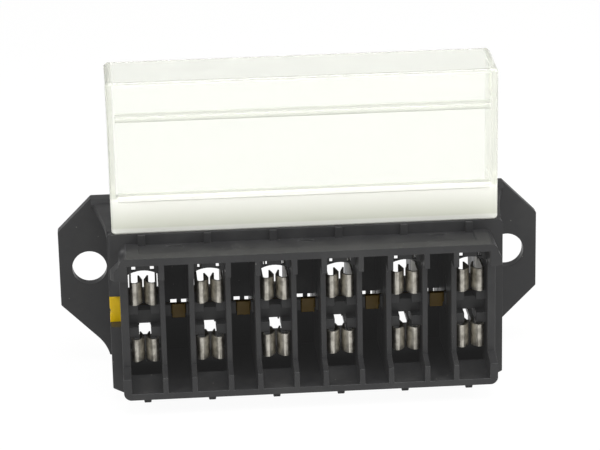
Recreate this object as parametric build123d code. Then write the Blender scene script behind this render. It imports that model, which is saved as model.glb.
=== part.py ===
from build123d import *
from math import atan, degrees
import os

os.makedirs("parts", exist_ok=True)

# Fuse row: each fuse bridges an upper and a lower terminal, and both rows are level
WAYS = 6
PITCH = 15.3
ROW_GAP = 14.0
CELL_W = 7.2
WALL = 1.3
END_WALL = 1.9

# Cuts run past the surface that they open by MARGIN, and pieces that join overlap by LAP
MARGIN = 1.0
LAP = 0.1
SKIN = 0.01

# Heights are measured from the middle of the fuse row
RIM_TOP = 18.0
RIM_BOTTOM = -16.7
POCKET_TOP = 16.2
POCKET_BOTTOM = -15.2
BODY_TOP = 20.3
BODY_BOTTOM = -19.2

# Depths are measured back from the front rim, and the ears end flush with the back
BODY_DEPTH = 39.5
SHOULDER = 11.0
POCKET_DEPTH = 8.0
BODY_W = 92.6
RIM_R = 1.8
BODY_R = 1.2
BODY_FOOT = (2.8, 1.4)

# Mounting ears
EAR_T = 3.0
EAR_OUT = 12.0
EAR_ROOT = 0.4
HOLE_D = 8.4
HOLE_INSET = 7.3
EAR_TOP = 21.3
EAR_SIDE = (-5.75, 13.05)
EAR_REACH = 41.0
EAR_FILLET = 10.0
RAMP_LENGTH = 2.0

# Roof of the body, which widens towards each ear in one curve
FLARE_T = 1.8
FLARE_START = 14.0
FLARE_MID = (48.2, 29.0)
FLARE_END = 50.2

# Shallow cut in the front edges of all walls, where fingers reach the fuses
CUT_DEPTH = 5.0
CUT_TOP = 12.6
CUT_BOTTOM = -10.2
CUT_SLOPE = 0.26

# Inside the cells
PARTITION = 1.6
BLADE_SLOT = 2.8
RECESS_BACK = 10.9
WEB_T = 1.2
WEB_LOW = 11.4
WEB_RISE = 1.0
PEEP_X = (1.7, 2.6)
PEEP_Z = (12.4, 13.4)
SHELF_START = 18.6
SHELF_T = 1.2
RAIL_W = 1.1
RAMP_START = 2.5
RAMP_TOP = -13.4
FLOOR_END = 20.0
STOP_DEPTH = (13.0, 14.2)

# Between the cells
SLOT_W = PITCH - CELL_W - 2 * WALL
SLOT_BACK = 28.5
SLOT_WEB = 1.5
SLOT_CORE_H = 28.0
WINDOW_W = 1.5
WINDOW_GAP = 1.1
WINDOW_SHIFT = 0.8
WINDOW_Z = (-6.0, -2.5)
GUIDE_DEPTH = (13.4, 14.6)
GUIDE_Z = (-1.2, 1.7)
SIDE_CORE_X = (43.3, 45.0)
SIDE_CORE_START = 20.5

# Outside of the rim and body
GROOVE_DEPTH = 4.0
GROOVE_W = 0.6
GROOVE_T = 0.6
PANEL_SINK = 0.3
PANEL_HALF = 39.1
RIB_W = 1.7
RIB_OUT = 0.9
NUB_TOP_W = 2.3
NUB_LOW_W = 1.6
NUB_LOW = -21.5
NUB_LENGTH = 12.0
LENS_LENGTH = 4.4
LENS_W = 1.3
LENS_T = 0.35
LENS_DEPTH = 9.4
LUG_OUT = {-1: 2.05, 1: 0.95}
LUG_LOW = 12.9
LUG_LENGTH = 4.6
LUG_TIP = 1.4
LUG_SLOPE = 0.3

# Terminals: one folded strip with two rolled springs and a crimp barrel
STRIP_T = 0.4
TERM_H = 5.5
TERM_W = 6.4
TERM_CLEAR = 0.1
SPRING_FRONT = 6.6
SPRING_CORNER = 1.1
SPRING_FLAT = 1.7
SPRING_BOW = (1.0, 0.65)
SPRING_TURN = (0.3, 2.0)
SPRING_GAP = 0.3
SPRING_TOUCH = 9.4
LIP_END = 12.4
LIP_FLARE = 0.75
BOX_END = 21.2
ROOF_START = 19.6
LOCK_NOTCH = (14.7, 17.9)
LOCK_NOTCH_H = 0.75
NECK_W = 3.0
BARREL = (22.6, 28.0)
BARREL_HALF = 1.7
BARREL_H = 2.2
GRIP = (29.6, 34.0)
GRIP_HALF = 2.1
GRIP_H = 3.0
CRIMP_FOLD = 0.9

# Terminal lock: a comb that slides in from the left behind both rows
LOCK_FRONT = 15.0
LOCK_BACK = 17.6
LOCK_CLEAR = 0.2
SPINE_FRONT = 16.4
SPINE_Z = (-1.6, 0.8)
PAD_W = 3.1
PAD_SHIFT = 0.45
PAD_Z = (-2.2, 1.25)
PAD_BACK = 16.2
TINE_X = (1.7, 3.35)
TINE_H = 4.6
LOCK_END = 41.3
HEAD_X = (-46.3, -43.7)
HEAD_H = 9.0
HEAD_BACK = 17.9
HEAD_EDGE = 0.4
PULL_NOTCH = 1.0
LEDGE_NOTCH_Z = (-2.4, 5.2)

# Cover: a clear cap that fits over the rim, here standing on top of the body
COVER_W = 90.8
COVER_H = 37.4
COVER_DEPTH = 16.5
COVER_WALL = 1.2
COVER_DRAFT = 0.35
COVER_CORNER = 0.8
COVER_EDGE = 0.4
COVER_FRONT = 11.0
COVER_RAIL_H = 1.4
COVER_RAIL_OUT = 0.5
COVER_RAIL_HALF = 43.2
COVER_RAIL_UP = (9.0, 28.3)
CATCH_W = 5.6
CATCH_H = 5.6
CATCH_INSET = 5.4

COLUMNS = [(i - (WAYS - 1) / 2) * PITCH for i in range(WAYS)]
SLOTS = [(a + b) / 2 for a, b in zip(COLUMNS, COLUMNS[1:])]
RIM_W = COLUMNS[-1] - COLUMNS[0] + CELL_W + 2 * END_WALL
ROW_Z = ROW_GAP / 2
SEAT_Z = ROW_Z - TERM_H / 2 - TERM_CLEAR
CEILING_Z = ROW_Z + TERM_H / 2 + TERM_CLEAR
HALF_CELL = CELL_W / 2


def block(xs, depths, zs):
    """Box between two widths, two depths behind the rim and two heights."""
    size = [hi - lo for lo, hi in (xs, depths, zs)]
    middle = [(hi + lo) / 2 for lo, hi in (xs, depths, zs)]
    return Pos(middle[0], middle[1] - BODY_DEPTH, middle[2]) * Box(*size)


def around(x, half):
    """Range of one width on both sides of x."""
    return (x - half, x + half)


def side_prism(points, xs):
    """Prism along the width with a section drawn as depth and height."""
    section = Polyline(*[(d - BODY_DEPTH, z) for d, z in points], close=True)
    return Pos(xs[0], 0, 0) * extrude(Plane.YZ * make_face(section), xs[1] - xs[0])


def front_prism(points, depths):
    """Prism along the depth with a section drawn as width and height."""
    section = make_face(Polyline(*points, close=True))
    return Pos(0, depths[1] - BODY_DEPTH, 0) * extrude(Plane.XZ * section, depths[1] - depths[0])


def ear(side):
    """Plate at the back, with a ramp on the roof in front of its upper edge."""
    out = BODY_W / 2 + EAR_OUT
    low, high = EAR_SIDE
    root = BODY_W / 2 + EAR_ROOT
    hidden = BODY_W / 2 - END_WALL
    corner_z = low - out + root
    foot_z = corner_z - EAR_FILLET
    points = [(EAR_REACH, BODY_TOP - MARGIN), (EAR_REACH, BODY_TOP),
              (EAR_REACH + EAR_TOP - BODY_TOP, EAR_TOP), (out - EAR_TOP + high, EAR_TOP),
              (out, high), (out, low), (root, corner_z), (root, foot_z),
              (hidden, foot_z), (hidden, BODY_TOP - MARGIN)]
    depths = (BODY_DEPTH - EAR_T, BODY_DEPTH)
    plate = front_prism([(side * x, z) for x, z in points], depths)
    bend = [e for e in plate.edges().filter_by(Axis.Y) if abs(e.center().Z - corner_z) < SKIN]
    plate = fillet(bend, EAR_FILLET) & block((-out, out), depths, (BODY_BOTTOM, EAR_TOP + MARGIN))
    rise = EAR_TOP - BODY_TOP
    front, back = depths[0] - RAMP_LENGTH, depths[0] + LAP
    ramp = [(front, BODY_TOP - LAP), (back, EAR_TOP), (back, BODY_TOP - LAP)]
    xs = sorted((side * (EAR_REACH + rise), side * (out - EAR_TOP + high)))
    plate += side_prism(ramp, xs)
    across = Pos(side * (out - HOLE_INSET), 0, (low + high) / 2) * Rot(90, 0, 0)
    return plate, across * Cylinder(HOLE_D / 2, 3 * EAR_T)


def roof_flare(side):
    """Part of the roof that widens in a curve from the body's side to the ear."""
    inner = BODY_W / 2
    start = (side * inner, FLARE_START - BODY_DEPTH)
    middle = (side * FLARE_MID[0], FLARE_MID[1] - BODY_DEPTH)
    end = (side * FLARE_END, -EAR_T / 2)
    root = side * (inner - END_WALL)
    outline = ThreePointArc(start, middle, end) + Polyline(end, (root, end[1]), (root, start[1]), start)
    return Pos(0, 0, BODY_TOP - FLARE_T) * extrude(make_face(outline), FLARE_T)


def lug(side):
    """Snap wedge on one side of the rim, which holds the closed cover."""
    face = RIM_W / 2
    tip = face + LUG_OUT[side]
    points = [(face - LAP, RIM_TOP - RIM_R), (face, RIM_TOP - RIM_R), (tip, LUG_LOW + LUG_TIP),
              (tip, LUG_LOW), (face - LAP, LUG_LOW)]
    wedge = front_prism([(side * x, z) for x, z in points], (0, LUG_LENGTH))
    past = side * (tip + MARGIN)
    ramp = [(side * (face + LUG_SLOPE), -MARGIN), (past, -MARGIN), (past, LUG_LENGTH / 2)]
    outline = make_face(Polyline(*[(x, d - BODY_DEPTH) for x, d in ramp], close=True))
    return wedge - extrude(outline, RIM_TOP)


def web(x):
    """Arched web over the upper terminal with a small hole at each top corner."""
    radius = (HALF_CELL ** 2 + WEB_RISE ** 2) / (2 * WEB_RISE)
    depths = (POCKET_DEPTH, POCKET_DEPTH + WEB_T)
    shape = block(around(x, HALF_CELL + LAP), depths, (WEB_LOW, POCKET_TOP + LAP))
    mid = sum(depths) / 2 - BODY_DEPTH
    shape -= Pos(x, mid, WEB_LOW + WEB_RISE - radius) * Rot(90, 0, 0) * Cylinder(radius, 4 * WEB_T)
    for side in (-1, 1):
        xs = sorted((x + side * PEEP_X[0], x + side * PEEP_X[1]))
        shape -= block(xs, (POCKET_DEPTH - MARGIN, POCKET_DEPTH + 2 * WEB_T), PEEP_Z)
    return shape


def column_space(x):
    """Everything that is hollow in one fuse column."""
    cell = around(x, HALF_CELL)
    back = BODY_DEPTH + MARGIN
    space = block(cell, (-MARGIN, POCKET_DEPTH), (POCKET_BOTTOM, POCKET_TOP))
    space += block(cell, (POCKET_DEPTH, back), (SEAT_Z, POCKET_TOP))
    space += block(cell, (POCKET_DEPTH, back), (POCKET_BOTTOM, -SEAT_Z))
    space += block(cell, (POCKET_DEPTH, RECESS_BACK), (-PARTITION, PARTITION))
    space += block(around(x, BLADE_SLOT / 2), (POCKET_DEPTH, LOCK_FRONT), (-SEAT_Z, -PARTITION))
    space += block(around(x, BLADE_SLOT / 2), (POCKET_DEPTH, LOCK_FRONT), (PARTITION, SEAT_Z))
    space += block(cell, (FLOOR_END, back), (POCKET_BOTTOM, POCKET_TOP))
    return space


def column_fill(x):
    """Walls that stand inside one column: web, shelf, rails, stop and floor ramp."""
    cell = around(x, HALF_CELL + LAP)
    fill = web(x)
    fill += block(cell, (SHELF_START, BODY_DEPTH), (CEILING_Z, CEILING_Z + SHELF_T))
    for side in (-1, 1):
        xs = sorted((x + side * (HALF_CELL - RAIL_W), x + side * (HALF_CELL + LAP)))
        fill += block(xs, (SHELF_START, BODY_DEPTH), (-CEILING_Z - SHELF_T, -CEILING_Z))
    low = POCKET_BOTTOM - LAP
    fill += block(cell, STOP_DEPTH, (low, -CEILING_Z))
    return fill + side_prism([(RAMP_START, low), (POCKET_DEPTH, RAMP_TOP), (POCKET_DEPTH, low)], cell)


def slot_space(x):
    """Everything that is hollow between two columns."""
    half = SLOT_W / 2
    space = block(around(x, half), (-MARGIN, SLOT_BACK), (POCKET_BOTTOM, POCKET_TOP))
    core = (-SLOT_CORE_H / 2, SLOT_CORE_H / 2)
    space += block(around(x, half), (SLOT_BACK + SLOT_WEB, BODY_DEPTH + MARGIN), core)
    depths = (SLOT_BACK - MARGIN, SLOT_BACK + SLOT_WEB + MARGIN)
    for side in (-1, 1):
        middle = x + WINDOW_SHIFT + side * (WINDOW_GAP + WINDOW_W) / 2
        space += block(around(middle, WINDOW_W / 2), depths, WINDOW_Z)
    return space


def rib(x):
    """Short upright rib on the step between the rim's top and the body's top."""
    return block(around(x, RIB_W / 2), (SHOULDER - RIB_OUT, SHOULDER + LAP), (RIM_TOP - MARGIN, BODY_TOP))


def guides(x):
    """Two ribs in one slot, in front of the lock's spine and beside its pad."""
    half = SLOT_W / 2 + LAP
    pad = around(x + PAD_SHIFT, PAD_W / 2 + LOCK_CLEAR)
    fill = block((x - half, pad[0]), GUIDE_DEPTH, GUIDE_Z)
    return fill + block((pad[1], x + half), GUIDE_DEPTH, GUIDE_Z)


def lens(x):
    """Shallow mark shaped like a lens in the top of the rim."""
    sag = LENS_W / 2
    radius = ((LENS_LENGTH / 2) ** 2 + sag ** 2) / (2 * sag)
    eye = (Pos(0, sag - radius) * Circle(radius)) & (Pos(0, radius - sag) * Circle(radius))
    low = RIM_TOP - PANEL_SINK - LENS_T
    return Pos(x, LENS_DEPTH - BODY_DEPTH, low) * extrude(eye, MARGIN)


def housing():
    """One black moulding: rim, body, ears, cells and their partitions."""
    rim = block(around(0, RIM_W / 2), (0, SHOULDER + LAP), (RIM_BOTTOM, RIM_TOP))
    rim = fillet(rim.edges().filter_by(Axis.Y), RIM_R)
    body = block(around(0, BODY_W / 2), (SHOULDER, BODY_DEPTH), (BODY_BOTTOM, BODY_TOP))
    foot_w, foot_h = BODY_FOOT
    low = BODY_BOTTOM
    for side in (-1, 1):
        outer = side * BODY_W / 2
        foot = [(outer, low + foot_h), (outer - side * foot_w, low), (outer, low)]
        body -= front_prism(foot, (SHOULDER, BODY_DEPTH))
    body = fillet(body.edges().filter_by(Axis.Y).sort_by(Axis.Z)[-2:], BODY_R)
    shell = rim + body
    for side in (-1, 1):
        shell += lug(side) + roof_flare(side)
    for x in COLUMNS:
        shell += rib(x)
        nub = [(x - NUB_TOP_W / 2, BODY_BOTTOM + LAP), (x + NUB_TOP_W / 2, BODY_BOTTOM + LAP),
               (x + NUB_LOW_W / 2, NUB_LOW), (x - NUB_LOW_W / 2, NUB_LOW)]
        shell += front_prism(nub, (SHOULDER - RIB_OUT, SHOULDER - RIB_OUT + NUB_LENGTH))
    holes = []
    for side in (-1, 1):
        plate, hole = ear(side)
        shell += plate
        holes.append(hole)
    for x in COLUMNS:
        shell -= column_space(x)
    for x in SLOTS:
        shell -= slot_space(x)
    for x in COLUMNS:
        shell += column_fill(x)
    for x in SLOTS:
        shell += guides(x)
    for hole in holes:
        shell -= hole
    for side in (-1, 1):
        xs = sorted((side * SIDE_CORE_X[0], side * SIDE_CORE_X[1]))
        shell -= block(xs, (SIDE_CORE_START, BODY_DEPTH + MARGIN), (POCKET_BOTTOM, POCKET_TOP))
    half = HEAD_H / 2 + LOCK_CLEAR
    channel = (LOCK_FRONT - LOCK_CLEAR, LOCK_BACK + LOCK_CLEAR)
    shell -= block((-BODY_W, LOCK_END + 2 * LOCK_CLEAR), channel, (-half, half))
    head = (LOCK_FRONT - LOCK_CLEAR, HEAD_BACK + LOCK_CLEAR)
    shell -= block((-BODY_W, HEAD_X[1] + LOCK_CLEAR), head, (-half, half))
    shell -= block((-BODY_W, HEAD_X[1] + LOCK_CLEAR), (SHOULDER - MARGIN, LOCK_FRONT), LEDGE_NOTCH_Z) - rim
    slope = CUT_BOTTOM - CUT_SLOPE * (CUT_DEPTH + MARGIN)
    cut = [(-MARGIN, slope), (CUT_DEPTH, CUT_BOTTOM), (CUT_DEPTH, CUT_TOP), (-MARGIN, CUT_TOP)]
    shell -= side_prism(cut, (-RIM_W, RIM_W))
    panel = around(0, PANEL_HALF)
    tops = block(panel, (GROOVE_DEPTH, GROOVE_DEPTH + GROOVE_W), (RIM_TOP - GROOVE_T, RIM_TOP + SKIN))
    tops += block(panel, (GROOVE_DEPTH, SHOULDER), (RIM_TOP - PANEL_SINK, RIM_TOP + SKIN))
    for x in COLUMNS:
        tops -= rib(x)
    shell -= tops
    for x in SLOTS[::2]:
        shell -= lens(x)
    return shell


def crimp(depths, half_w, height):
    """Open crimp wings, folded down along both sides of the strip's roof."""
    top = TERM_H / 2
    low, bend = top - height, top - CRIMP_FOLD
    outside = Polyline((-half_w, low), (-half_w, bend), (CRIMP_FOLD - half_w, top),
                       (half_w - CRIMP_FOLD, top), (half_w, bend), (half_w, low))
    section = make_face(offset(outside, STRIP_T, kind=Kind.INTERSECTION, side=Side.RIGHT))
    return Pos(0, depths[1] - BODY_DEPTH, 0) * extrude(Plane.XZ * section, depths[1] - depths[0])


def spring(side):
    """One side of the terminal: wall, rolled front and the lip that grips the blade."""
    wall_x = TERM_W / 2
    touch_x = SPRING_GAP / 2
    spots = [(wall_x, BOX_END), (wall_x, SPRING_FRONT + SPRING_CORNER), (SPRING_FLAT, SPRING_FRONT),
             (SPRING_BOW[0], SPRING_FRONT + SPRING_BOW[1]), (SPRING_TURN[0], SPRING_FRONT + SPRING_TURN[1]),
             (touch_x, SPRING_TOUCH), (touch_x + LIP_FLARE, LIP_END)]
    p = [(side * x, d - BODY_DEPTH) for x, d in spots]
    corner = JernArc(p[1], (0, -1), SPRING_CORNER, -90 * side)
    outside = Line(p[0], p[1]) + corner + Line(corner @ 1, p[2]) + ThreePointArc(p[2], p[3], p[4])
    outside += Polyline(p[4], p[5], p[6])
    hand = Side.RIGHT if side > 0 else Side.LEFT
    section = make_face(offset(outside, STRIP_T, kind=Kind.INTERSECTION, side=hand))
    strip = extrude(section, TERM_H / 2, both=True)
    inside = sorted((side * (wall_x - 2 * STRIP_T), side * (wall_x + STRIP_T)))
    for end in (-1, 1):
        zs = sorted((end * TERM_H, end * (TERM_H / 2 - LOCK_NOTCH_H)))
        strip -= block(inside, LOCK_NOTCH, zs)
    return strip


def terminal():
    """Folded strip around its own middle height, with the roof on top."""
    roof = (TERM_H / 2 - STRIP_T, TERM_H / 2)
    shape = spring(-1) + spring(1)
    shape += block(around(0, TERM_W / 2), (ROOF_START, BOX_END), roof)
    shape += block(around(0, NECK_W / 2), (BOX_END, GRIP[0]), roof)
    return shape + crimp(BARREL, BARREL_HALF, BARREL_H) + crimp(GRIP, GRIP_HALF, GRIP_H)


def terminal_lock():
    """Comb with a tine pair per column, a pad per gap and a head to pull."""
    comb = block((HEAD_X[1] - LAP, LOCK_END), (SPINE_FRONT, LOCK_BACK), SPINE_Z)
    for x in COLUMNS:
        for side in (-1, 1):
            xs = sorted((x + side * TINE_X[0], x + side * TINE_X[1]))
            comb += block(xs, (LOCK_FRONT, LOCK_BACK), (-TINE_H, TINE_H))
    for x in SLOTS:
        pad = around(x + PAD_SHIFT, PAD_W / 2)
        comb += block(pad, (LOCK_FRONT, PAD_BACK), PAD_Z)
        comb += block(pad, (PAD_BACK - LAP, SPINE_FRONT + LAP), SPINE_Z)
    head = block(HEAD_X, (LOCK_FRONT, HEAD_BACK), (-HEAD_H / 2, HEAD_H / 2))
    head = chamfer(head.edges().filter_by(Axis.Y), HEAD_EDGE)
    left = HEAD_X[0] - LAP
    notch = [(left, PULL_NOTCH), (HEAD_X[0] + PULL_NOTCH / 2, 0), (left, -PULL_NOTCH)]
    head -= front_prism(notch, (LOCK_FRONT - MARGIN, HEAD_BACK + MARGIN))
    return comb + head


def cut_rectangle(width, height, corner):
    """Rectangle whose four corners are cut off."""
    sketch = Rectangle(width, height)
    return chamfer(sketch.vertices(), corner)


def cover():
    """Clear cap with two rails across its panel, standing on its lower wall."""
    taper = degrees(atan(COVER_DRAFT / COVER_DEPTH))
    outline = cut_rectangle(COVER_W, COVER_H, COVER_CORNER)
    outer = extrude(Plane.XZ * outline, COVER_DEPTH, taper=taper)
    outer = chamfer(outer.faces().sort_by(Axis.Y)[0].edges(), COVER_EDGE)
    inside = cut_rectangle(COVER_W - 2 * COVER_WALL, COVER_H - 2 * COVER_WALL, COVER_CORNER / 2)
    shell = outer - extrude(Plane.XZ * inside, COVER_DEPTH - COVER_WALL, taper=taper)
    for up in COVER_RAIL_UP:
        rail = Box(2 * COVER_RAIL_HALF, 2 * COVER_RAIL_OUT, COVER_RAIL_H)
        rail = chamfer(rail.edges().filter_by(Axis.X).sort_by(Axis.Y)[:2], COVER_RAIL_OUT / 2)
        shell += Pos(0, -COVER_DEPTH, up - COVER_H / 2) * rail
    hole_z = COVER_H / 2 - CATCH_INSET
    hole_y = -COVER_DEPTH / 2 - CATCH_W / 4
    shell -= Pos(0, hole_y, hole_z) * Box(2 * COVER_W, CATCH_W, CATCH_H)
    stand = Pos(0, COVER_FRONT + COVER_DEPTH - BODY_DEPTH, BODY_TOP) * Rot(taper, 0, 0)
    return stand * Pos(0, 0, COVER_H / 2) * shell


place = Pos(0, 0, -sum(EAR_SIDE) / 2)
export_step(place * housing(), "parts/housing.step")
export_step(place * terminal_lock(), "parts/terminal_lock.step")
export_step(place * cover(), "parts/cover.step")
strip = terminal()
for i, x in enumerate(COLUMNS, 1):
    export_step(place * Pos(x, 0, ROW_Z) * strip, f"parts/upper_terminal_{i}.step")
    export_step(place * Pos(x, 0, -ROW_Z) * strip, f"parts/lower_terminal_{i}.step")
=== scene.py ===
"""Six-way blade fuse box: dresses the CAD model, lights it and sets the camera.

Lengths are in metres in the CAD frame: X to the right, Y to the back and Z up, with the
origin on the panel, midway between the two mounting holes.
"""

import logging
import math
from dataclasses import dataclass, field
from enum import Enum

import bmesh
import bpy
from mathutils import Matrix, Vector
from mathutils.geometry import intersect_point_line


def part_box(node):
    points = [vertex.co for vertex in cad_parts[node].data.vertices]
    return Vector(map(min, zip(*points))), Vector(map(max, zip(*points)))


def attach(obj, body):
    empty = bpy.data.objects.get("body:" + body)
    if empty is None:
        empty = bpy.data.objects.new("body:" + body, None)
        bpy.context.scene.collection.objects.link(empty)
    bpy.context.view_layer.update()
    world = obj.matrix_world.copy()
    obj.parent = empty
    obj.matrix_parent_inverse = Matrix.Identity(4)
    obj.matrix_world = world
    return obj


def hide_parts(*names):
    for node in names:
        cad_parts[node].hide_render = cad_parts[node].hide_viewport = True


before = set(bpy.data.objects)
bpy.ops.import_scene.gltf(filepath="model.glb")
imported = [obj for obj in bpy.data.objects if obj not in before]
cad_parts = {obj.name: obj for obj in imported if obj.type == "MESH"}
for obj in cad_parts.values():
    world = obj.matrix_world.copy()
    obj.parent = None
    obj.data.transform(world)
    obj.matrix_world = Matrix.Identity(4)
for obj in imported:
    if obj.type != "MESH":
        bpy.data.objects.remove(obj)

MM = 0.001
WORLD_UP = Vector((0.0, 0.0, 1.0))
MERGE_WITHIN = 0.002 * MM
FLAT_WITHIN = math.radians(0.4)
NOISE_BODY = (0.3, 0.7)
log = logging.getLogger("fuse_box")

Tree = bpy.types.NodeTree
Socket = bpy.types.NodeSocket
Pair = tuple[float, float]
Triple = tuple[float, float, float]
Colour = tuple[float, float, float, float]


class Body(Enum):
    """Rigid bodies of the CAD model that pieces ride on."""

    BOX = "box"
    COVER = "cover"
    LOCK = "terminal_lock"


class Slot(Enum):
    """Material slots of the record."""

    HOUSING = "housing_plastic"
    COVER = "clear_plastic"
    LOCK = "lock_plastic"
    TERMINAL = "tinned_strip"


def linear(code: str) -> Colour:
    """Turn an sRGB hex colour into linear values.

    Args:
        code: Six hex digits.

    Returns:
        Red, green, blue and an alpha of 1.
    """
    parts = [int(code[i:i + 2], 16) / 255 for i in (0, 2, 4)]
    red, green, blue = [c / 12.92 if c <= 0.04045 else ((c + 0.055) / 1.055) ** 2.4 for c in parts]
    return red, green, blue, 1.0


def add_node(tree: Tree, kind: str, inputs: dict | None = None, **settings: object) -> bpy.types.Node:
    """Add one node, set it up and link what feeds it.

    Args:
        tree: The node tree that gets the node.
        kind: The node's type name.
        inputs: For each input, by name or number, a constant or the socket to link from.
        **settings: Properties of the node itself.

    Returns:
        The new node.
    """
    node = tree.nodes.new(kind)
    for name, value in settings.items():
        setattr(node, name, value)
    for key, value in (inputs or {}).items():
        if isinstance(value, Socket):
            tree.links.new(value, node.inputs[key])
        else:
            node.inputs[key].default_value = value
    return node


def empty_material(name: str) -> tuple[bpy.types.Material, Tree]:
    """Make a material with no nodes in it.

    Args:
        name: The material's name.

    Returns:
        The material and its tree.
    """
    material = bpy.data.materials.new(name)
    material.use_nodes = True
    material.node_tree.nodes.clear()
    return material, material.node_tree


def object_noise(tree: Tree, size_mm: Triple, detail: float = 2.0) -> Socket:
    """Noise on Object coordinates whose features have a real size.

    Args:
        tree: The material's tree.
        size_mm: Size of one feature along X, Y and Z, in millimetres.
        detail: How many finer octaves the noise has.

    Returns:
        The noise value, from 0 to 1.
    """
    coords = add_node(tree, "ShaderNodeTexCoord").outputs["Object"]
    scale = tuple(1 / (size * MM) for size in size_mm)
    mapped = add_node(tree, "ShaderNodeMapping", {"Vector": coords, "Scale": scale})
    inputs = {"Vector": mapped.outputs[0], "Scale": 1.0, "Detail": detail}
    return add_node(tree, "ShaderNodeTexNoise", inputs).outputs[0]


def ranges(start: Pair, end: Pair = (0.0, 1.0)) -> dict[int, float]:
    """Number the ends of two ranges as a Map Range node does.

    Args:
        start: Low and high end of the old range.
        end: What those ends become.

    Returns:
        The inputs from 1 to 4.
    """
    return {1: start[0], 2: start[1], 3: end[0], 4: end[1]}


@dataclass(frozen=True)
class SatinNylon:
    """Glass-filled nylon 66 from a spark-eroded mould: satin black, with a fine grain and some dust."""

    name: str = "satin_nylon_black"
    colour: str = "262627"
    scuffed: str = "323232"
    dust: str = "77756F"
    roughness: Pair = (0.36, 0.52)
    ior: float = 1.5
    specular: float = 0.35
    grain_mm: float = 0.45
    grain_strength: float = 0.35
    grain_depth_mm: float = 0.03
    cloud_mm: float = 7.0
    scuffs: Pair = (0.45, 0.75)
    dust_gap_mm: float = 2.6
    dust_mm: float = 0.16
    dusty: Pair = (0.35, 0.8)
    stray: float = 0.012

    def build(self) -> bpy.types.Material:
        """Make the material.

        Returns:
            The finished material.
        """
        material, tree = empty_material(self.name)
        cloud = object_noise(tree, (self.cloud_mm,) * 3, 4.0)
        grain = object_noise(tree, (self.grain_mm,) * 3, 3.0)
        scuff = add_node(tree, "ShaderNodeMapRange", {0: cloud, **ranges(self.scuffs)}).outputs[0]
        worn = add_node(tree, "ShaderNodeMix", {
            0: scuff, 6: linear(self.colour), 7: linear(self.scuffed)}, data_type="RGBA").outputs[2]
        colour = add_node(tree, "ShaderNodeMix", {
            0: self.specks(tree), 6: worn, 7: linear(self.dust)}, data_type="RGBA").outputs[2]
        gloss = {0: cloud, **ranges(NOISE_BODY, self.roughness)}
        # The mould's texture is about 0.05 mm, and is drawn coarser so that it shows as a soft mottling
        bump = add_node(tree, "ShaderNodeBump", {
            "Height": grain, "Strength": self.grain_strength, "Distance": self.grain_depth_mm * MM})
        # A faint glow stands for a bright studio's stray light: the eye sees dark grey in the deepest slots
        shader = add_node(tree, "ShaderNodeBsdfPrincipled", {
            "Base Color": colour, "Roughness": add_node(tree, "ShaderNodeMapRange", gloss).outputs[0],
            "IOR": self.ior, "Specular IOR Level": self.specular, "Normal": bump.outputs[0],
            "Emission Color": linear("FFFFFF"), "Emission Strength": self.stray})
        add_node(tree, "ShaderNodeOutputMaterial", {"Surface": shader.outputs[0]})
        return material

    def specks(self, tree: Tree) -> Socket:
        """Mask of small dust specks, more of them on faces that look up.

        Args:
            tree: The material's tree.

        Returns:
            The mask, 1 on a speck.
        """
        coords = add_node(tree, "ShaderNodeTexCoord").outputs["Object"]
        scale = 1 / (self.dust_gap_mm * MM)
        cells = add_node(tree, "ShaderNodeTexVoronoi", {"Vector": coords, "Scale": scale})
        near = self.dust_mm / self.dust_gap_mm
        spot = add_node(tree, "ShaderNodeMapRange", {
            0: cells.outputs["Distance"], **ranges((near, near / 2))}).outputs[0]
        normal = add_node(tree, "ShaderNodeNewGeometry").outputs["Normal"]
        upward = add_node(tree, "ShaderNodeSeparateXYZ", {0: normal}).outputs["Z"]
        share = add_node(tree, "ShaderNodeMapRange", {0: upward, **ranges((0.0, 1.0), self.dusty)}).outputs[0]
        chance = add_node(tree, "ShaderNodeSeparateColor", {0: cells.outputs["Color"]}).outputs[0]
        kept = add_node(tree, "ShaderNodeMath", {0: share, 1: chance}, operation="GREATER_THAN").outputs[0]
        return add_node(tree, "ShaderNodeMath", {0: spot, 1: kept}, operation="MULTIPLY").outputs[0]


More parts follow.
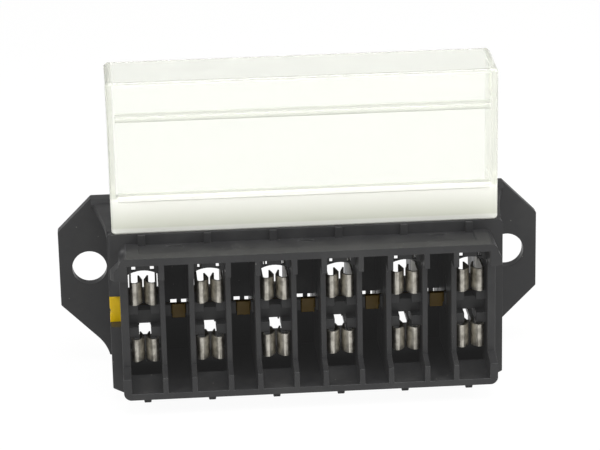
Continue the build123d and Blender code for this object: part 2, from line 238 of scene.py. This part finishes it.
@dataclass(frozen=True)
class ClearPolystyrene:
    """Moulded clear polystyrene: see-through across the cap's panel, and milky at its walls and along its
    bottom, with painted shade on the walls, the rails' edges and the bottom band, and a painted highlight on
    the bottom edge.
    """

    low: Vector
    high: Vector
    name: str = "clear_polystyrene"
    clear: str = "F6F7F1"
    # Grey of the walls and the rails' edges: painted shade over their milkiness
    wall: str = "D2D4CA"
    # Tone of the bottom band from its bottom to its top: painted shade, darker towards the bottom
    strip: tuple[str, str] = ("DADCCE", "FEFEF8")
    # Lighter tone at the bottom edge: a painted highlight
    painted_foot_highlight: str = "ECEDE5"
    ior: float = 1.49
    clearness: Pair = (0.82, 0.1)
    light_through: float = 0.85
    roughness: Pair = (0.05, 0.14)
    smear_mm: Triple = (22.0, 9.0, 5.0)
    smeared: Pair = (0.4, 0.75)
    wall_mm: Pair = (2.0, 1.5)
    foot_mm: Pair = (1.7, 1.3)
    strip_mm: Pair = (9.6, 8.4)
    wall_milk_and_shade: Triple = (0.5, 0.4, 0.03)
    rails_mm: Pair = (9.0, 28.3)
    rail_height_mm: float = 1.4
    rail_line_mm: float = 0.5
    rail_inset_mm: float = 2.2
    rail_painted_shade: float = 0.8

    def build(self) -> bpy.types.Material:
        """Make the material.

        Returns:
            The finished material.
        """
        material, tree = empty_material(self.name)
        smear = object_noise(tree, self.smear_mm, 5.0)
        coords = add_node(tree, "ShaderNodeTexCoord").outputs["Object"]
        place = add_node(tree, "ShaderNodeSeparateXYZ", {0: coords}).outputs
        across, up = place["X"], place["Z"]
        # The walls are drawn milky and grey, the left more than the right and the top barely: part milkiness,
        # part painted shade.
        left, right, top = self.wall_milk_and_shade
        wall = self.near(tree, across, self.low.x, self.wall_mm, left)
        for value, edge, wall_milk_and_shade in ((across, self.high.x, right), (up, self.high.z, top)):
            beside = self.near(tree, value, edge, tuple(-depth for depth in self.wall_mm), wall_milk_and_shade)
            wall = add_node(tree, "ShaderNodeMath", {0: wall, 1: beside}, operation="MAXIMUM").outputs[0]
        # The grey lines along the rails' edges are painted shade
        lines = self.painted_rail_lines(tree, across, up)
        wall = add_node(tree, "ShaderNodeMath", {0: wall, 1: lines}, operation="MAXIMUM").outputs[0]
        strip = self.near(tree, up, self.low.z, self.strip_mm)
        painted_foot_highlight = self.near(tree, up, self.low.z, self.foot_mm)
        rise = self.near(tree, up, self.low.z, (self.foot_mm[0], self.strip_mm[1]))
        # The bottom band is painted darker towards the bottom, which is painted shade, with a painted
        # highlight along its bottom edge
        strip_painted_shade_low, strip_painted_shade_high = self.strip
        shade = add_node(tree, "ShaderNodeMix", {
            0: rise, 6: linear(strip_painted_shade_low), 7: linear(strip_painted_shade_high)}, data_type="RGBA").outputs[2]
        shade = add_node(tree, "ShaderNodeMix", {
            0: painted_foot_highlight, 6: shade, 7: linear(self.painted_foot_highlight)}, data_type="RGBA").outputs[2]
        colour = add_node(tree, "ShaderNodeMix", {
            0: wall, 6: linear(self.clear), 7: linear(self.wall)}, data_type="RGBA").outputs[2]
        colour = add_node(tree, "ShaderNodeMix", {0: strip, 6: colour, 7: shade}, data_type="RGBA").outputs[2]
        milky = add_node(tree, "ShaderNodeMath", {0: wall, 1: strip}, operation="MAXIMUM").outputs[0]
        gloss = {0: smear, **ranges(self.smeared, self.roughness)}
        seen_through = {0: milky, **ranges((0.0, 1.0), self.clearness)}
        shader = add_node(tree, "ShaderNodeBsdfPrincipled", {
            "Base Color": colour, "Roughness": add_node(tree, "ShaderNodeMapRange", gloss).outputs[0],
            "IOR": self.ior,
            "Transmission Weight": add_node(tree, "ShaderNodeMapRange", seen_through).outputs[0]})
        # Lamps shine through the cap, so that its inside and the roof below it aren't in full shadow
        shadow = add_node(tree, "ShaderNodeLightPath").outputs["Is Shadow Ray"]
        share = add_node(tree, "ShaderNodeMath", {0: shadow, 1: self.light_through}, operation="MULTIPLY")
        through = add_node(tree, "ShaderNodeBsdfTransparent")
        mix = add_node(tree, "ShaderNodeMixShader", {
            0: share.outputs[0], 1: shader.outputs[0], 2: through.outputs[0]})
        add_node(tree, "ShaderNodeOutputMaterial", {"Surface": mix.outputs[0]})
        return material

    def painted_rail_lines(self, tree: Tree, across: Socket, up: Socket) -> Socket:
        """Mask of the thin grey lines painted along both edges of each rail, a painted refraction of the
        rails' rounded edges.

        Args:
            tree: The material's tree.
            across: The place from left to right.
            up: The place from bottom to top.

        Returns:
            The mask.
        """
        edges = [rail + side * self.rail_height_mm / 2 for rail in self.rails_mm for side in (-1, 1)]
        lines: Socket | float = 0.0
        for edge in edges:
            inputs = {0: up, 1: self.low.z + edge * MM, 2: self.rail_line_mm / 2 * MM}
            line = add_node(tree, "ShaderNodeMath", inputs, operation="COMPARE").outputs[0]
            lines = add_node(tree, "ShaderNodeMath", {0: lines, 1: line}, operation="MAXIMUM").outputs[0]
        reach = (self.high.x - self.low.x) / 2 - self.rail_inset_mm * MM
        inputs = {0: across, 1: (self.low.x + self.high.x) / 2, 2: reach}
        between = add_node(tree, "ShaderNodeMath", inputs, operation="COMPARE").outputs[0]
        kept = add_node(tree, "ShaderNodeMath", {0: lines, 1: between}, operation="MULTIPLY")
        inputs = {0: kept.outputs[0], 1: self.rail_painted_shade}
        return add_node(tree, "ShaderNodeMath", inputs, operation="MULTIPLY").outputs[0]

    @staticmethod
    def near(tree: Tree, value: Socket, edge: float, reach_mm: Pair, most: float = 1.0) -> Socket:
        """Mask that grows from one distance inside an edge to another.

        Args:
            tree: The material's tree.
            value: The place along one axis.
            edge: Where the cap ends on that axis.
            reach_mm: Distances at which the mask is none and full, below 0 towards lower values.
            most: The mask's full value.

        Returns:
            The mask.
        """
        inside = (edge + reach_mm[0] * MM, edge + reach_mm[1] * MM)
        return add_node(tree, "ShaderNodeMapRange", {0: value, **ranges(inside, (0.0, most))}).outputs[0]


@dataclass(frozen=True)
class YellowPolyester:
    """Moulded polyester (PBT): signal yellow at the pull head, and a dull amber on the comb inside, which is
    painted shade.
    """

    head_end: float
    name: str = "yellow_polyester"
    head: str = "FFD410"
    # Dull amber past the pull head: painted shade of the slots that the comb sits in
    comb: str = "8A6C16"
    deep: float = 0.9
    blend_mm: float = 1.0
    roughness: Pair = (0.34, 0.46)
    ior: float = 1.52
    specular: float = 0.35
    cloud_mm: float = 3.0
    clouded: Pair = (0.35, 0.75)
    grain_mm: float = 0.4
    grain_strength: float = 0.2
    grain_depth_mm: float = 0.02

    def build(self) -> bpy.types.Material:
        """Make the material.

        Returns:
            The finished material.
        """
        material, tree = empty_material(self.name)
        cloud = object_noise(tree, (self.cloud_mm,) * 3, 3.0)
        grain = object_noise(tree, (self.grain_mm,) * 3)
        coords = add_node(tree, "ShaderNodeTexCoord").outputs["Object"]
        place = add_node(tree, "ShaderNodeSeparateXYZ", {0: coords}).outputs
        # Past the pull head the comb is painted dull amber: painted shade
        blended = ranges((self.head_end, self.head_end + self.blend_mm * MM))
        inside = add_node(tree, "ShaderNodeMapRange", {0: place["X"], **blended}).outputs[0]
        base = add_node(tree, "ShaderNodeMix", {
            0: inside, 6: linear(self.head), 7: linear(self.comb)}, data_type="RGBA").outputs[2]
        clouded = ranges(self.clouded, (1.0, self.deep))
        value = add_node(tree, "ShaderNodeMapRange", {0: cloud, **clouded}).outputs[0]
        colour = add_node(tree, "ShaderNodeHueSaturation", {"Color": base, "Value": value})
        bump = add_node(tree, "ShaderNodeBump", {
            "Height": grain, "Strength": self.grain_strength, "Distance": self.grain_depth_mm * MM})
        gloss = {0: cloud, **ranges(NOISE_BODY, self.roughness)}
        shader = add_node(tree, "ShaderNodeBsdfPrincipled", {
            "Base Color": colour.outputs[0],
            "Roughness": add_node(tree, "ShaderNodeMapRange", gloss).outputs[0],
            "IOR": self.ior, "Specular IOR Level": self.specular, "Normal": bump.outputs[0]})
        add_node(tree, "ShaderNodeOutputMaterial", {"Surface": shader.outputs[0]})
        return material


@dataclass(frozen=True)
class TinnedBrass:
    """Tin-plated brass strip, stamped and rolled: a soft grey metal with fine lines down each spring."""

    name: str = "tinned_brass"
    colour: str = "CECAC0"
    dull: str = "8E8A80"
    roughness: Pair = (0.38, 0.52)
    line_mm: Triple = (0.28, 0.28, 7.0)
    line_strength: float = 0.5
    line_depth_mm: float = 0.03
    cloud_mm: float = 1.6
    dulled: Pair = (0.4, 0.72)

    def build(self) -> bpy.types.Material:
        """Make the material.

        Returns:
            The finished material.
        """
        material, tree = empty_material(self.name)
        lines = object_noise(tree, self.line_mm, 3.0)
        cloud = object_noise(tree, (self.cloud_mm,) * 3, 3.0)
        share = add_node(tree, "ShaderNodeMapRange", {0: cloud, **ranges(self.dulled)}).outputs[0]
        colour = add_node(tree, "ShaderNodeMix", {
            0: share, 6: linear(self.colour), 7: linear(self.dull)}, data_type="RGBA").outputs[2]
        # Rolling lines are a few hundredths of a millimetre apart, and are drawn coarser to show
        bump = add_node(tree, "ShaderNodeBump", {
            "Height": lines, "Strength": self.line_strength, "Distance": self.line_depth_mm * MM})
        gloss = {0: lines, **ranges(NOISE_BODY, self.roughness)}
        shader = add_node(tree, "ShaderNodeBsdfPrincipled", {
            "Base Color": colour, "Metallic": 1.0, "Normal": bump.outputs[0],
            "Roughness": add_node(tree, "ShaderNodeMapRange", gloss).outputs[0]})
        add_node(tree, "ShaderNodeOutputMaterial", {"Surface": shader.outputs[0]})
        return material


@dataclass(frozen=True)
class EdgeBreak:
    """Rounding that a mould or a stamping tool leaves along a piece's outer edges.

    Where other edges lie close, the rounding takes only a share of the room beside it.
    """

    width: float
    segments: int = 2
    angle: float = math.radians(35)
    shortest: float = 0.35 * MM
    room_used: float = 0.33
    least_share: float = 0.2


def copy_of_nodes(name: str, *nodes: str) -> bmesh.types.BMesh:
    """Merge copies of CAD nodes into one clean mesh, with the flat faces joined up.

    Args:
        name: What the mesh is for, used in the log.
        *nodes: Names of the CAD nodes.

    Returns:
        The merged mesh, still open for edits.
    """
    mesh = bmesh.new()
    for node in nodes:
        mesh.from_mesh(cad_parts[node].data)
    bmesh.ops.remove_doubles(mesh, verts=mesh.verts, dist=MERGE_WITHIN)
    bmesh.ops.dissolve_limit(mesh, angle_limit=FLAT_WITHIN, verts=mesh.verts, edges=mesh.edges)
    log.info("%s: %d faces from %s", name, len(mesh.faces), ", ".join(nodes))
    return mesh


def room_beside(edge: bmesh.types.BMEdge) -> float:
    """How far it is from an edge to the nearest other edge of the two faces that meet there.

    Args:
        edge: An edge between two faces.

    Returns:
        The distance.
    """
    def reach(point: Vector, start: Vector, end: Vector) -> float:
        """Distance from a point to a stretch of line."""
        nearest, share = intersect_point_line(point, start, end)
        return (point - (start if share < 0 else end if share > 1 else nearest)).length

    ends = [vert.co for vert in edge.verts]
    room = math.inf
    for face in edge.link_faces:
        others = [other for other in face.edges if not set(other.verts) & set(edge.verts)]
        spots = {vert for vert in face.verts if vert not in edge.verts}
        room = min([room] + [reach(vert.co, *ends) for vert in spots]
                   + [reach(end, *(vert.co for vert in other.verts)) for other in others for end in ends])
    return room


def rounded(name: str, mesh: bmesh.types.BMesh, edges: EdgeBreak,
            material: bpy.types.Material) -> bpy.types.Object:
    """Turn a mesh into an object whose outer edges are rounded.

    Args:
        name: The object's name.
        mesh: The mesh, which is freed.
        edges: The rounding.
        material: The finish.

    Returns:
        The object, with a plain mesh and no modifiers.
    """
    weights = mesh.edges.layers.float.new("bevel_weight_edge")
    for edge in mesh.edges:
        outer = edge.is_manifold and edge.is_convex and edge.calc_face_angle(0.0) > edges.angle
        if outer and edge.calc_length() > edges.shortest:
            share = min(1.0, edges.room_used * room_beside(edge) / edges.width)
            edge[weights] = share if share > edges.least_share else 0.0
    data = bpy.data.meshes.new(name)
    mesh.to_mesh(data)
    mesh.free()
    data.materials.append(material)
    shape = bpy.data.objects.new(name + "_shape", data)
    bpy.context.scene.collection.objects.link(shape)
    bevel = shape.modifiers.new("rounding", "BEVEL")
    bevel.width = edges.width
    bevel.segments = edges.segments
    bevel.limit_method = "WEIGHT"
    bevel.use_clamp_overlap = False
    return plain(name, shape)


def plain(name: str, source: bpy.types.Object) -> bpy.types.Object:
    """Bake an object's modifiers into a new object with a plain mesh, and remove the old one.

    Args:
        name: The new object's name.
        source: The object with its modifiers.

    Returns:
        The new object.
    """
    graph = bpy.context.evaluated_depsgraph_get()
    data = bpy.data.meshes.new_from_object(source.evaluated_get(graph))
    data.name = name
    bpy.data.objects.remove(source)
    piece = bpy.data.objects.new(name, data)
    bpy.context.scene.collection.objects.link(piece)
    return piece


def smooth(piece: bpy.types.Object, angle: float = math.radians(32)) -> bpy.types.Object:
    """Shade a piece smooth between its sharp edges, with its flat faces kept flat.

    Args:
        piece: An object with a plain mesh.
        angle: Edges that turn by more than this stay sharp.

    Returns:
        The object that takes its place.
    """
    piece.data.shade_smooth()
    piece.data.set_sharp_from_angle(angle=angle)
    flat = piece.modifiers.new("flat_faces", "WEIGHTED_NORMAL")
    flat.keep_sharp = True
    name = piece.name
    piece.name = name + "_rough"
    return plain(name, piece)


def dress(piece: bpy.types.Object, body: Body, slot: Slot, *nodes: str) -> bpy.types.Object:
    """Put a piece on its body and hide the CAD nodes that it stands for.

    Args:
        piece: The finished piece.
        body: The body that it rides on.
        slot: The record's material slot; not used.
        *nodes: CAD nodes that it replaces.

    Returns:
        The piece.
    """
    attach(piece, body.value)
    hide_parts(*nodes)
    return piece


@dataclass
class Housing:
    """The black moulding with its rim, cells and ears."""

    node: str = "housing"
    edges: EdgeBreak = field(default_factory=lambda: EdgeBreak(0.16 * MM))
    finish: SatinNylon = field(default_factory=SatinNylon)

    def build(self) -> bpy.types.Object:
        """Make the moulding with rounded edges.

        Returns:
            The finished piece.
        """
        mesh = copy_of_nodes("housing", self.node)
        piece = rounded("housing_moulding", mesh, self.edges, self.finish.build())
        return dress(smooth(piece), Body.BOX, Slot.HOUSING, self.node)


@dataclass
class Cover:
    """The clear cap with its two rails."""

    node: str = "cover"
    edges: EdgeBreak = field(default_factory=lambda: EdgeBreak(0.3 * MM, 3, math.radians(25)))

    def build(self) -> bpy.types.Object:
        """Make the cap with rounded edges.

        Returns:
            The finished piece.
        """
        finish = ClearPolystyrene(*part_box(self.node))
        piece = rounded("clear_cover", copy_of_nodes("cover", self.node), self.edges, finish.build())
        return dress(smooth(piece), Body.COVER, Slot.COVER, self.node)


@dataclass
class TerminalLock:
    """The yellow comb that holds the terminals in."""

    node: str = "terminal_lock"
    head_mm: float = 2.8
    edges: EdgeBreak = field(default_factory=lambda: EdgeBreak(0.12 * MM))

    def build(self) -> bpy.types.Object:
        """Make the comb with rounded edges.

        Returns:
            The finished piece.
        """
        finish = YellowPolyester(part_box(self.node)[0].x + self.head_mm * MM)
        piece = rounded("lock_comb", copy_of_nodes("lock", self.node), self.edges, finish.build())
        return dress(smooth(piece), Body.LOCK, Slot.LOCK, self.node)


@dataclass
class TerminalRows:
    """Two rows of spring terminals, all stamped by one tool and each seated a little differently."""

    columns: int = 6
    rows: int = 2
    wobble: float = math.radians(0.5)
    seed: int = 7
    edges: EdgeBreak = field(default_factory=lambda: EdgeBreak(0.07 * MM))
    finish: TinnedBrass = field(default_factory=TinnedBrass)

    def nodes(self) -> list[str]:
        """Names of the CAD nodes that the rows stand for."""
        return [f"{row}_terminal_{i + 1}" for row in ("upper", "lower") for i in range(self.columns)]

    def build(self) -> bpy.types.Object:
        """Make one terminal and repeat it in both rows.

        Returns:
            All terminals as one piece.
        """
        material = self.finish.build()
        first, last = self.middle("upper_terminal_1"), self.middle(f"upper_terminal_{self.columns}")
        below = self.middle("lower_terminal_1")
        mesh = copy_of_nodes("terminal", "upper_terminal_1")
        bmesh.ops.translate(mesh, verts=mesh.verts, vec=-first)
        terminal = rounded("terminal", mesh, self.edges, material)
        centre = Vector(((first.x + last.x) / 2, first.y, (first.z + below.z) / 2))
        values = {"Columns": self.columns, "Rows": self.rows, "Width": last.x - first.x,
                  "Height": first.z - below.z, "Centre": centre, "Wobble": self.wobble,
                  "Seed": self.seed, "Finish": material}
        modifier = terminal.modifiers.new("rows", "NODES")
        modifier.node_group = self.tree(values)
        for item in modifier.node_group.interface.items_tree:
            if item.name in values:
                modifier[item.identifier] = values[item.name]
        piece = smooth(plain("terminals", terminal))
        return dress(piece, Body.BOX, Slot.TERMINAL, *self.nodes())

    @staticmethod
    def middle(node: str) -> Vector:
        """Middle of a CAD node's box."""
        low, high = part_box(node)
        return (low + high) / 2

    @staticmethod
    def tree(values: dict) -> Tree:
        """Geometry Nodes that set the incoming terminal on a grid, each turned by a hair.

        Args:
            values: The inputs and what each is set to, whose types give the sockets' types.

        Returns:
            The node tree.
        """
        kinds = {int: "NodeSocketInt", float: "NodeSocketFloat", Vector: "NodeSocketVector",
                 bpy.types.Material: "NodeSocketMaterial"}
        tree = bpy.data.node_groups.new("terminal_rows", "GeometryNodeTree")
        tree.interface.new_socket("Geometry", in_out="INPUT", socket_type="NodeSocketGeometry")
        tree.interface.new_socket("Geometry", in_out="OUTPUT", socket_type="NodeSocketGeometry")
        for name, value in values.items():
            tree.interface.new_socket(name, in_out="INPUT", socket_type=kinds[type(value)])
        given = add_node(tree, "NodeGroupInput").outputs
        grid = add_node(tree, "GeometryNodeMeshGrid", {
            "Size X": given["Width"], "Size Y": given["Height"],
            "Vertices X": given["Columns"], "Vertices Y": given["Rows"]})
        upright = add_node(tree, "GeometryNodeTransform", {
            "Geometry": grid.outputs["Mesh"], "Translation": given["Centre"],
            "Rotation": (math.pi / 2, 0.0, 0.0)})
        least = add_node(tree, "ShaderNodeMath", {0: given["Wobble"], 1: -1.0}, operation="MULTIPLY")
        turn = add_node(tree, "FunctionNodeRandomValue", {
            0: least.outputs[0], 1: given["Wobble"], "Seed": given["Seed"]}, data_type="FLOAT_VECTOR")
        placed = add_node(tree, "GeometryNodeInstanceOnPoints", {
            "Points": upright.outputs[0], "Instance": given["Geometry"], "Rotation": turn.outputs[0]})
        real = add_node(tree, "GeometryNodeRealizeInstances", {0: placed.outputs[0]})
        finished = add_node(tree, "GeometryNodeSetMaterial", {
            "Geometry": real.outputs[0], "Material": given["Finish"]})
        add_node(tree, "NodeGroupOutput", {0: finished.outputs[0]})
        return tree


@dataclass(frozen=True)
class Softbox:
    """A square lamp with a soft front, aimed at the object.

    It is turned to the right of the front and raised, both in degrees. Its level is how bright
    a white card that faces it would look, with 1 for white.
    """

    name: str
    turned: float
    height: float
    distance: float
    size: float
    level: float

    def place(self) -> Vector:
        """Where the lamp hangs, turned to the right from straight in front and raised."""
        turned, height = math.radians(self.turned), math.radians(self.height)
        level = math.cos(height)
        towards = Vector((math.sin(turned) * level, -math.cos(turned) * level, math.sin(height)))
        return towards * self.distance

    def power(self) -> float:
        """Watts that give the level at the lamp's distance."""
        return self.level * (math.pi * self.distance) ** 2


@dataclass
class Studio:
    """White floor, white surroundings and a few softboxes."""

    floor_z: float
    half_floor: float = 2.5
    paper: str = "E0E0DE"
    shine_through: float = 0.9
    shine: float = 1.06
    sky: float = 0.08
    mirrored_sky: float = 0.3
    lamps: tuple[Softbox, ...] = (
        Softbox("softbox_top", 8.0, 68.0, 0.8, 0.5, 0.6),
        Softbox("softbox_right", 50.0, 35.0, 0.8, 0.35, 0.5),
        Softbox("softbox_left", -50.0, 35.0, 0.8, 0.30, 0.4),
    )

    def build(self) -> None:
        """Make the floor, the surroundings and the lamps."""
        self.floor()
        self.surroundings()
        for lamp in self.lamps:
            self.light(lamp)

    @staticmethod
    def rays(tree: Tree, *kinds: str) -> Socket:
        """Value that is 1 for rays of any of the given kinds.

        Args:
            tree: The tree that gets the nodes.
            *kinds: Names of the light path's outputs.

        Returns:
            The value.
        """
        path = add_node(tree, "ShaderNodeLightPath").outputs
        value = path[kinds[0]]
        for kind in kinds[1:]:
            inputs = {0: value, 1: path[kind]}
            value = add_node(tree, "ShaderNodeMath", inputs, operation="MAXIMUM").outputs[0]
        return value

    def floor(self) -> None:
        """White sheet that looks white and still takes the object's shadow."""
        half = self.half_floor
        mesh = bpy.data.meshes.new("floor")
        corners = [(-half, -half), (half, -half), (half, half), (-half, half)]
        mesh.from_pydata([(x, y, self.floor_z) for x, y in corners], [], [(0, 1, 2, 3)])
        sheet = bpy.data.objects.new("floor", mesh)
        bpy.context.scene.collection.objects.link(sheet)
        material, tree = empty_material("white_paper_sweep")
        paper = add_node(tree, "ShaderNodeBsdfDiffuse", {"Color": linear(self.paper)})
        glow = add_node(tree, "ShaderNodeEmission", {"Color": linear("FFFFFF"), "Strength": self.shine})
        seen = self.rays(tree, "Is Camera Ray", "Is Glossy Ray", "Is Transmission Ray")
        share = add_node(tree, "ShaderNodeMath", {0: seen, 1: self.shine_through}, operation="MULTIPLY")
        mix = add_node(tree, "ShaderNodeMixShader", {
            0: share.outputs[0], 1: paper.outputs[0], 2: glow.outputs[0]})
        add_node(tree, "ShaderNodeOutputMaterial", {"Surface": mix.outputs[0]})
        mesh.materials.append(material)

    def surroundings(self) -> None:
        """World that is white where it is seen and a soft light elsewhere."""
        world = bpy.data.worlds.new("white_studio")
        world.use_nodes = True
        tree = world.node_tree
        tree.nodes.clear()
        levels = ranges((0.0, 1.0), (self.sky, self.mirrored_sky))
        glossy = self.rays(tree, "Is Glossy Ray")
        mirrored = add_node(tree, "ShaderNodeMapRange", {0: glossy, **levels}).outputs[0]
        seen = self.rays(tree, "Is Camera Ray", "Is Transmission Ray")
        strength = add_node(tree, "ShaderNodeMath", {0: seen, 1: mirrored}, operation="MAXIMUM").outputs[0]
        glow = add_node(tree, "ShaderNodeBackground", {"Color": linear("FFFFFF"), "Strength": strength})
        add_node(tree, "ShaderNodeOutputWorld", {"Surface": glow.outputs[0]})
        bpy.context.scene.world = world

    def light(self, lamp: Softbox) -> None:
        """Hang one softbox, aimed at the object.

        Args:
            lamp: Its place, size and level.
        """
        data = bpy.data.lights.new(lamp.name, "AREA")
        data.size = lamp.size
        data.energy = lamp.power()
        holder = bpy.data.objects.new(lamp.name, data)
        holder.location = lamp.place()
        holder.rotation_euler = (-holder.location).to_track_quat("-Z", "Y").to_euler()
        bpy.context.scene.collection.objects.link(holder)


@dataclass(frozen=True)
class PhotoCamera:
    """The camera where the photograph was taken: from a little to the left and above."""

    target: Triple = (-2.01 * MM, -39.5 * MM, 21.0 * MM)
    distance: float = 0.6
    turned_left: float = math.radians(3.80)
    elevation: float = math.radians(18.57)
    roll: float = math.radians(1.20)
    lens: float = 157.65
    sensor_width: float = 36.0
    clip_start: float = 0.01

    def build(self) -> None:
        """Make the camera and use it."""
        level = math.cos(self.elevation)
        back = Vector((-math.sin(self.turned_left) * level, -math.cos(self.turned_left) * level,
                       math.sin(self.elevation)))
        right = WORLD_UP.cross(back).normalized()
        axes = Matrix((right, back.cross(right), back)).transposed()
        data = bpy.data.cameras.new("photo_camera")
        data.lens = self.lens
        data.sensor_width = self.sensor_width
        data.clip_start = self.clip_start
        camera = bpy.data.objects.new("photo_camera", data)
        turned = axes @ Matrix.Rotation(-self.roll, 3, "Z")
        place = Vector(self.target) + back * self.distance
        camera.matrix_world = Matrix.Translation(place) @ turned.to_4x4()
        bpy.context.scene.collection.objects.link(camera)
        bpy.context.scene.camera = camera


def main() -> None:
    """Build every piece, the studio and the camera, and note the sizes."""
    logging.basicConfig(level=logging.INFO, format="%(name)s: %(message)s")
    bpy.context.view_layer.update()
    for part in (Housing(), Cover(), TerminalLock(), TerminalRows()):
        piece = part.build()
        log.info("%s: %d faces", piece.name, len(piece.data.polygons))
    Studio(floor_z=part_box("housing")[0].z).build()
    PhotoCamera().build()
    bpy.context.scene.view_settings.view_transform = "Standard"


if __name__ == "__main__":
    main()
